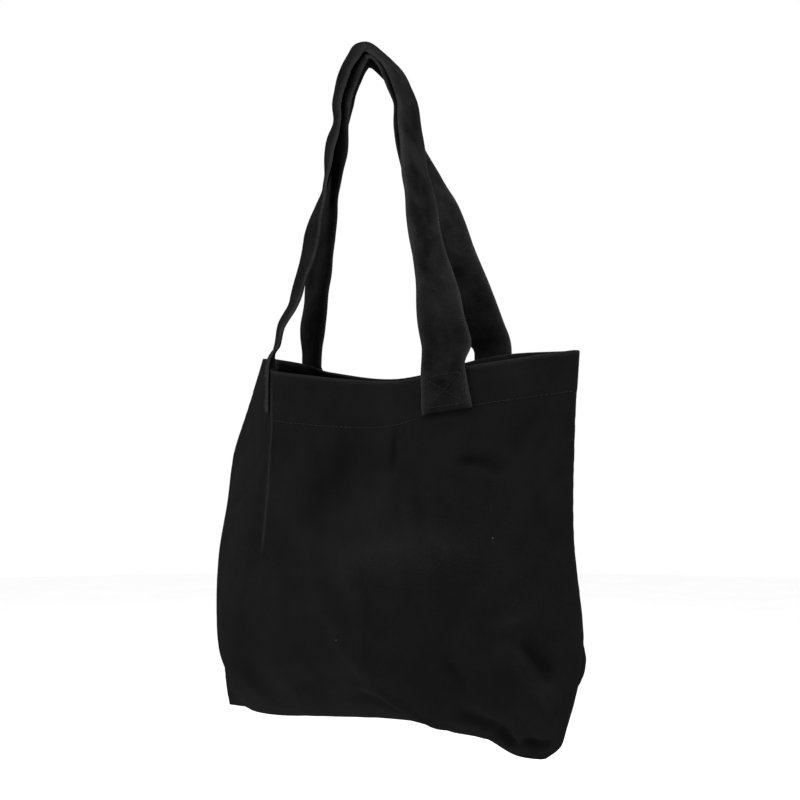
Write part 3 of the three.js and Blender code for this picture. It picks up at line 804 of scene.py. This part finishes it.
def strap(name, handle, nodes):
    """One strap: a sewn end down the cloth, the loop over the hang point, and the other sewn end."""
    start_place, end_place = handle["feet"]
    feet = [cloth.at(place, 0.0, STRAP_LIFT) for place in handle["feet"]]
    foot_knots = [[*foot, heading, 0] for foot, heading in zip(feet, handle["foot_headings"])]
    knots = np.array([foot_knots[0], *handle["route"], foot_knots[1]], float)
    at = lengths_along(knots[:, :3])
    loop = at[-1]
    along = np.concatenate([
        steps_between(-TAB_DROP, 0, STRAP_STEP)[:-1],
        steps_between(0, loop, STRAP_STEP),
        steps_between(loop, loop + TAB_DROP, STRAP_STEP)[1:],
    ])
    here = smooth_through(at, knots, np.clip(along, 0, loop))
    after = smooth_through(at, knots, np.clip(along + STRAP_STEP, 0, loop))
    before = smooth_through(at, knots, np.clip(along - STRAP_STEP, 0, loop))
    ahead = unit((after - before)[:, :3])
    heading, cup = np.radians(here[:, 3]), np.radians(np.maximum(here[:, 4], 1))[:, None]
    width = np.stack([np.cos(heading), np.sin(heading), np.zeros_like(heading)], axis=1)
    width = unit(width - (width * ahead).sum(axis=1, keepdims=True) * ahead)
    outward = np.cross(width, ahead)
    outward *= np.sign(outward[np.argmax(here[:, 2]), 2])
    side = np.sin(np.linspace(-math.pi / 2, math.pi / 2, STRAP_COLUMNS))
    turn = side * cup / 2
    radius = STRAP_WIDTH / cup
    free = (
        here[:, None, :3]
        + (radius * np.sin(turn))[..., None] * width[:, None]
        - (radius * (1 - np.cos(turn)))[..., None] * outward[:, None]
    )
    beyond = np.maximum(-along, along - loop)[:, None]
    drop, rise = np.clip(beyond, 0, TAB_DROP), np.clip(-beyond, 0, None)
    at_start = (along < loop / 2)[:, None]
    across = side * STRAP_WIDTH / 2
    start_spots = place_beside(start_place, -across) + tab_lean(start_place, drop)
    end_spots = place_beside(end_place, across) + tab_lean(end_place, drop)
    place = np.where(at_start, start_spots, end_spots)
    sewn = cloth.at(place, drop, STRAP_LIFT) + rise[..., None] * np.array([0, 0, 1])
    loose = smoothstep(rise, 1, FOOT_RISE)[..., None]
    surface = loose * free + (1 - loose) * sewn
    facing = unit(np.cross(np.gradient(surface, axis=0), np.gradient(surface, axis=1)))
    crumple = strap_wrinkles(along[:, None], side[None, :] * STRAP_WIDTH / 2) * smoothstep(rise, 0, 25)
    surface = surface + facing * crumple[..., None]
    half = STRAP_EDGE + (STRAP_THICKNESS / 2 - STRAP_EDGE) * np.sqrt(1 - np.abs(side) ** STRAP_SQUARENESS)
    outer = surface + facing * half[:, None]
    inner = surface - facing * half[:, None]
    apex = along[np.argmax(here[:, 2])] + APEX_CREASE_SHIFT
    edge_wear = EDGE_WEAR * np.abs(side[None, :]) ** 8
    apex_wear = APEX_WEAR * np.exp(-(((along[:, None] - apex) / APEX_CREASE_WIDTH) ** 2))
    wear_and_painted_shade = edge_wear + apex_wear
    obj = closed_sheet(name, outer, inner, along[:, None], across[None, :], STRAP_CLOTH, wear_and_painted_shade)
    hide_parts(*nodes)
    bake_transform(obj)
    return obj


for side, handle in (("front", FRONT_HANDLE), ("back", BACK_HANDLE)):
    body = f"{side}_handle"
    strap(f"{side}_strap", handle, [body, f"{side}_right_handle_tab", f"{side}_left_handle_tab"])

# ---- Stitching ----


def on_strap(place, drop):
    return cloth.at(place, drop, GAP + STRAP_THICKNESS), cloth.normal(place, drop)


def box_stitches(side, place):
    """The box with a cross in it that holds the sewn end of a handle."""
    margin = 4.0
    half = TAB_DROP / 2 - margin
    half_across = STRAP_WIDTH / 2 - margin
    corners = [(-1, -1), (1, -1), (1, 1), (-1, 1), (-1, -1)]
    lines = list(zip(corners[:-1], corners[1:])) + [((-1, -1), (1, 1)), ((1, -1), (-1, 1))]
    runs = []
    for start, end in lines:
        t = np.linspace(0, 1, 12)
        down = TAB_DROP / 2 + half * (start[1] + (end[1] - start[1]) * t)
        sideways = half_across * (start[0] + (end[0] - start[0]) * t)
        runs.append(on_strap(place_beside(place, sideways) + tab_lean(place, down), down))
    obj = stitches(f"{side}_box_stitches", runs, THREAD)
    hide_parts(f"{side}_box_stitching")
    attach(obj, BODY)


def hem_stitches(name, node, start, end):
    places = steps_between(start, end, 3.0)
    drops = hem_drop(places) - STITCH_INSET
    obj = stitches(name, [(cloth.at(places, drops), cloth.normal(places, drops))], THREAD)
    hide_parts(node)
    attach(obj, BODY)


for corner, middle in TAB_AT.items():
    box_stitches(corner, middle)


def beside_tab(corner, side):
    """The place just clear of a tab, before it where side is -1 and after it where side is 1."""
    return float(place_beside(TAB_AT[corner], side * (STRAP_WIDTH / 2 + 1)))


HEM_RUNS = {
    "front_right": (3, beside_tab("front_right", -1)),
    "front_middle": (beside_tab("front_right", 1), beside_tab("front_left", -1)),
    "back_middle": (beside_tab("back_left", 1), beside_tab("back_right", -1)),
    "back_right": (beside_tab("back_right", 1), GIRTH - 3),
}
for side, (start, end) in HEM_RUNS.items():
    hem_stitches(f"{side}_hem_stitches", f"{side}_hem_stitching", start, end)

# ---- Seam allowances inside the bag ----

ALLOWANCE = 10.0
ALLOWANCE_HALF = 1.0
OVERLOCK_PITCH = 1.6
OVERLOCK_SWAY = 1.3


def allowance_curl(walked, depth):
    """How far an allowance waves to one side, at a length along it and a depth into the bag."""
    share = depth / ALLOWANCE
    return 0.9 * np.sin(walked / 23) * share**2 + 0.4 * np.sin(walked / 7) * share


def allowance(name, node, root, inward, across):
    """The two raw edges of a seam, sewn and overlocked together, from a line of root points inwards."""
    depth = np.linspace(0, ALLOWANCE, 9)
    walked = lengths_along(root)
    curl = allowance_curl(walked[:, None], depth)
    middle = root[:, None] + depth[None, :, None] * inward[:, None] + curl[..., None] * across[:, None]
    half = np.full(len(depth), ALLOWANCE_HALF)
    half[-1] = ALLOWANCE_HALF * 0.5
    outer = middle + half[None, :, None] * across[:, None]
    inner = middle - half[None, :, None] * across[:, None]
    obj = closed_sheet(name, outer, inner, walked[:, None], depth[None, :], TURNED_CLOTH)
    thread = overlocking(name, root, inward, across)
    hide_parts(node)
    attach(obj, BODY)


def overlocking(name, root, inward, across):
    """The thread that zigzags over the raw edge of an allowance, on both of its faces."""
    walked = lengths_along(root)
    count = int(walked[-1] / OVERLOCK_PITCH)
    where = np.linspace(0, walked[-1], count)

    def along(values):
        return np.stack([np.interp(where, walked, values[:, axis]) for axis in range(3)], axis=1)

    sway = ALLOWANCE - OVERLOCK_PITCH + OVERLOCK_SWAY * (np.arange(count) % 2)
    curl = allowance_curl(where, sway)
    line = along(root) + along(inward) * sway[:, None] + along(across) * curl[:, None]
    runs = []
    for side in (-1, 1):
        up = unit(along(across)) * side
        runs.append((line + up * (ALLOWANCE_HALF + 0.15), up))
    obj = stitches(f"{name}_overlocking", runs, THREAD, thickness=0.5, length=1.2)
    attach(obj, BODY)
    return obj


def side_allowance(name, node, seam):
    drops = steps_between(3, PANEL_DROP - 42, 3.0)
    front = cloth.face(seam + 2 * NOSE_RADIUS, drops)
    back = cloth.face(seam - 2 * NOSE_RADIUS, drops)
    tip = cloth.face(seam, drops)
    inward = unit((front + back) / 2 - tip)
    across = front - back
    across -= (across * inward).sum(axis=1, keepdims=True) * inward
    allowance(name, node, tip + inward * (CANVAS + 0.6), inward, unit(across))


def bottom_allowance(name, node):
    places = steps_between(24, PANEL_WIDTH - 24, 3.0)
    root = (cloth.face(places, PANEL_DROP) + cloth.face(GIRTH - places, PANEL_DROP)) / 2
    inward = np.tile([0.0, 0.0, 1.0], (len(places), 1))
    across = np.tile([0.0, -1.0, 0.0], (len(places), 1))
    allowance(name, node, root + inward * 0.3, inward, across)


side_allowance("right_seam_allowance", "right_side_seam", 0.0)
side_allowance("left_seam_allowance", "left_side_seam", PANEL_WIDTH)
bottom_allowance("bottom_seam_allowance", "bottom_seam")

# ---- Floor, lights and camera ----

AZIMUTH = math.radians(39.4)
CAMERA_DISTANCE = 1.3
CAMERA_TARGET = (np.array([38.6, -12.5, 268.0]) - HANG_POINT) * MM
TO_CAMERA = np.array([math.sin(AZIMUTH), -math.cos(AZIMUTH), 0])
CAMERA_RIGHT = np.array([math.cos(AZIMUTH), math.sin(AZIMUTH), 0])
UP = np.array([0, 0, 1.0])


def add_floor():
    radius = 6.0
    height = CAD_BOUNDS[0][2] - 0.5
    bpy.ops.mesh.primitive_circle_add(vertices=64, radius=radius, fill_type="NGON", location=(0, 0, height))
    floor = bpy.context.object
    floor.name = "floor"
    floor.data.materials.append(floor_material())


def add_light(name, right, up, near, size, power):
    """A soft square light, placed from the camera's target, that faces it."""
    data = bpy.data.lights.new(name, "AREA")
    data.size = size
    data.energy = power
    light = bpy.data.objects.new(name, data)
    where = CAMERA_TARGET + right * CAMERA_RIGHT + up * UP + near * TO_CAMERA
    light.location = where
    light.rotation_euler = Vector(CAMERA_TARGET - where).to_track_quat("-Z", "Y").to_euler()
    bpy.context.scene.collection.objects.link(light)


def set_white_studio():
    world = bpy.data.worlds.new("white_studio")
    world.use_nodes = True
    world.node_tree.nodes["Background"].inputs["Color"].default_value = (1, 1, 1, 1)
    world.node_tree.nodes["Background"].inputs["Strength"].default_value = 1.0
    bpy.context.scene.world = world
    bpy.context.scene.view_settings.view_transform = "Standard"


def add_camera():
    data = bpy.data.cameras.new("camera")
    data.sensor_width = 36.0
    data.lens = 73.7
    camera = bpy.data.objects.new("camera", data)
    camera.location = CAMERA_TARGET + CAMERA_DISTANCE * TO_CAMERA
    camera.rotation_euler = Vector(-TO_CAMERA).to_track_quat("-Z", "Y").to_euler()
    bpy.context.scene.collection.objects.link(camera)
    bpy.context.scene.camera = camera


add_floor()
add_light("key", right=1.4, up=1.3, near=0.3, size=0.8, power=80)
add_light("top", right=0.0, up=1.7, near=0.9, size=1.0, power=42)
add_light("side", right=-1.4, up=0.3, near=0.4, size=0.9, power=26)
add_light("back", right=0.4, up=1.0, near=-1.4, size=1.2, power=60)
set_white_studio()
add_camera()
